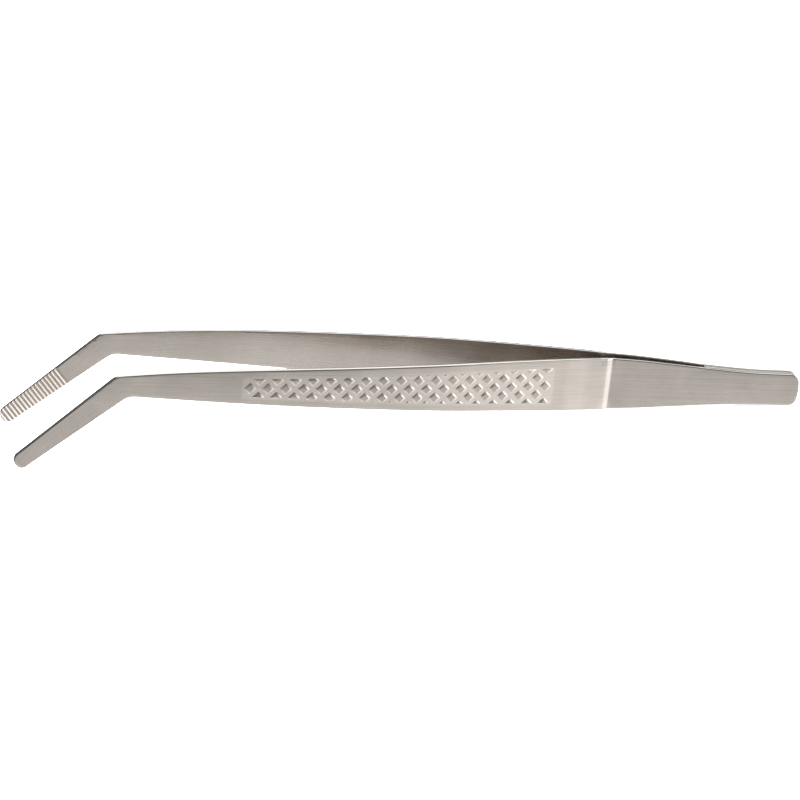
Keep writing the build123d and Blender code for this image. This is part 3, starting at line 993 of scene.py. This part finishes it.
beads = [lay_bead("weld_bead_top", TOP_HEIGHTS, 1), lay_bead("weld_bead_bottom", BOTTOM_HEIGHTS, -1)]
for bead in beads:
    apply_modifier(bead, "BEVEL", width=BEAD_BEVEL * MM, segments=2, limit_method="ANGLE",
                   angle_limit=BEVEL_ANGLE)
    stand_up(bead)
    smooth(bead)
    print(bead.name, len(bead.data.polygons), "faces")

# %% Dress the tail
for bead, seam in zip(beads, ("weld_seam_top", "weld_seam_bottom")):
    bead.data.materials.clear()
    bead.data.materials.append(weld_bead)
    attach(bead, "tail")
    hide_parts(seam)
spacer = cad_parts["tail_spacer"]
spacer.data.materials.clear()
spacer.data.materials.append(spacer_steel)
print("tail dressed")

# %% [markdown]
# ## Floor, light and camera
# The tongs lie on a plain pale floor, lit from straight above by a wide softbox that the steel doesn't
# mirror. What the steel mirrors is a soft room: grey and low in front, growing lighter to the right, with a
# white card far right and another behind. The gaps between the cards are dark, and that is what draws the
# thin black edge lines.

# %% Floor
FLOOR_SIZE = 8.0
FLOOR_DROP = 0.05 * MM
deselect_all()
bpy.ops.mesh.primitive_plane_add(size=FLOOR_SIZE, location=(0, 0, -FLOOR_DROP))
floor = bpy.context.active_object
floor.name = "floor"
paper = bpy.data.materials.new("floor_paper")
paper.use_nodes = True
paper_shader = next(n for n in paper.node_tree.nodes if n.type == "BSDF_PRINCIPLED")
paper_shader.inputs["Roughness"].default_value = 0.9
paper_shader.inputs["Base Color"].default_value = (0.9, 0.9, 0.9, 1)
paper_shader.inputs["Emission Color"].default_value = (1, 1, 1, 1)
paper_shader.inputs["Emission Strength"].default_value = 0.7
floor.data.materials.append(paper)
floor.visible_glossy = False
print("floor ready")

# %% Soft room
def curve(tree, source, points, x, y, low=-1.0, high=1.0):
    """A value that follows listed points, smoothly, as the source goes from low to high."""
    spread = node(tree, "ShaderNodeMapRange", x, y, clamp=True)
    spread.inputs[1].default_value, spread.inputs[2].default_value = low, high
    ramp = node(tree, "ShaderNodeValToRGB", x + 160, y)
    elements = ramp.color_ramp.elements
    elements.remove(elements[1])
    peak = max(value for _, value in points)
    for i, (place, value) in enumerate(points):
        position = (place - low) / (high - low)
        element = elements[0] if i == 0 else elements.new(position)
        element.position = position
        element.color = (value / peak,) * 3 + (1,)
    back = node(tree, "ShaderNodeMath", x + 420, y, operation="MULTIPLY")
    back.inputs[1].default_value = peak
    link(tree, (source, spread.inputs[0]), (spread.outputs[0], ramp.inputs[0]),
         (ramp.outputs[0], back.inputs[0]))
    return back.outputs[0]


LOW_BY_HEIGHT = [(-1.0, 0.80), (-0.5, 0.75), (-0.36, 0.62), (-0.25, 0.42), (-0.1, 0.24), (0.05, 0.20),
                 (1.0, 0.20)]
LOW_BY_SIDE = [(-1.0, 0.6), (-0.3, 0.95), (-0.12, 1.05), (-0.06, 1.1), (0.0, 1.22), (0.07, 1.95),
               (0.13, 1.22), (0.19, 1.0), (0.25, 1.1), (0.29, 1.1), (0.39, 1.18), (0.53, 1.52),
               (0.8, 2.3), (1.0, 2.5)]
LOW_BY_DEPTH = [(-1.0, 1.0), (-0.2, 1.0), (0.3, 0.4), (0.6, 0.85), (1.0, 0.95)]
RIGHT_CARD, BACK_CARD = 2.2, 1.6

world = bpy.data.worlds.new("soft_room")
bpy.context.scene.world = world
world.use_nodes = True
sky = world.node_tree
sky.nodes.clear()
direction = node(sky, "ShaderNodeTexCoord", -1400, 0)
toward = node(sky, "ShaderNodeSeparateXYZ", -1200, 0)
link(sky, (direction.outputs["Generated"], toward.inputs[0]))
right, behind, up = (toward.outputs[axis] for axis in "XYZ")
low = product(sky, [curve(sky, up, LOW_BY_HEIGHT, -900, 500), curve(sky, right, LOW_BY_SIDE, -900, 200),
                    curve(sky, behind, LOW_BY_DEPTH, -900, 800)], -300, 400)
right_card = product(sky, [
    remap(sky, right, 0.0, RIGHT_CARD, -900, -100, 0.50, 0.75),
    remap(sky, up, 0.0, 1.0, -900, -300, -0.2, 0.0),
    remap(sky, up, 1.0, 0.0, -900, -500, 0.6, 0.8)], -600, -200)
back_card = product(sky, [
    remap(sky, behind, 0.0, BACK_CARD, -900, -700, 0.30, 0.60),
    remap(sky, up, 0.0, 1.0, -900, -900, 0.30, 0.36),
    remap(sky, up, 1.0, 0.0, -900, -1100, 0.75, 0.95),
    remap(sky, right, 0.0, 1.0, -900, -1300, -0.2, 0.0)], -600, -900)
lit = node(sky, "ShaderNodeMath", 0, 0, operation="ADD")
total = node(sky, "ShaderNodeMath", 160, 0, operation="ADD")
background = node(sky, "ShaderNodeBackground", 320, 0)
output = node(sky, "ShaderNodeOutputWorld", 480, 0)
link(sky, (low, lit.inputs[0]), (right_card, lit.inputs[1]), (lit.outputs[0], total.inputs[0]),
     (back_card, total.inputs[1]), (total.outputs[0], background.inputs["Strength"]),
     (background.outputs[0], output.inputs[0]))
background.inputs["Color"].default_value = (1, 1, 1, 1)
print("room has", len(sky.nodes), "nodes")

# %% Overhead softbox
SOFTBOX_HEIGHT = 0.8
SOFTBOX_POWER = 64.0
deselect_all()
bpy.ops.object.light_add(type="AREA", location=(0, 0, SOFTBOX_HEIGHT))
softbox = bpy.context.active_object
softbox.name = "overhead_softbox"
softbox.data.shape = "RECTANGLE"
softbox.data.size, softbox.data.size_y = 2.0, 1.6
softbox.data.energy = SOFTBOX_POWER
softbox.visible_glossy = False
print("softbox", softbox.data.energy, "W")

# %% [markdown]
# A long lens from well back keeps the tongs nearly free of perspective, as in a catalogue. The camera
# stands a little to the left of square-on and about 21 degrees above the table, and is rolled by about one
# degree.

# %% Camera
CAMERA_TARGET = STANCE @ (Vector((0.0, 0.0, -7.49)) * MM)
CAMERA_DISTANCE = 1.11125
LENS_LENGTH = 200.0
VIEW_RIGHT = Vector((0.98154, -0.19022, 0.01960)).normalized()
VIEW_BACK = -Vector((0.18429, 0.91362, -0.36237)).normalized()
view_up = VIEW_BACK.cross(VIEW_RIGHT)
camera_data = bpy.data.cameras.new("catalogue_lens")
camera_data.lens = LENS_LENGTH
camera_data.sensor_width = 36.0
camera_data.clip_start, camera_data.clip_end = 0.01, 50.0
camera = bpy.data.objects.new("camera", camera_data)
bpy.context.collection.objects.link(camera)
turn = Matrix((VIEW_RIGHT, view_up, VIEW_BACK)).transposed().to_4x4()
camera.matrix_world = Matrix.Translation(CAMERA_TARGET + VIEW_BACK * CAMERA_DISTANCE) @ turn
bpy.context.scene.camera = camera
bpy.context.scene.view_settings.view_transform = "Standard"
print("camera at", [round(v, 3) for v in camera.location])
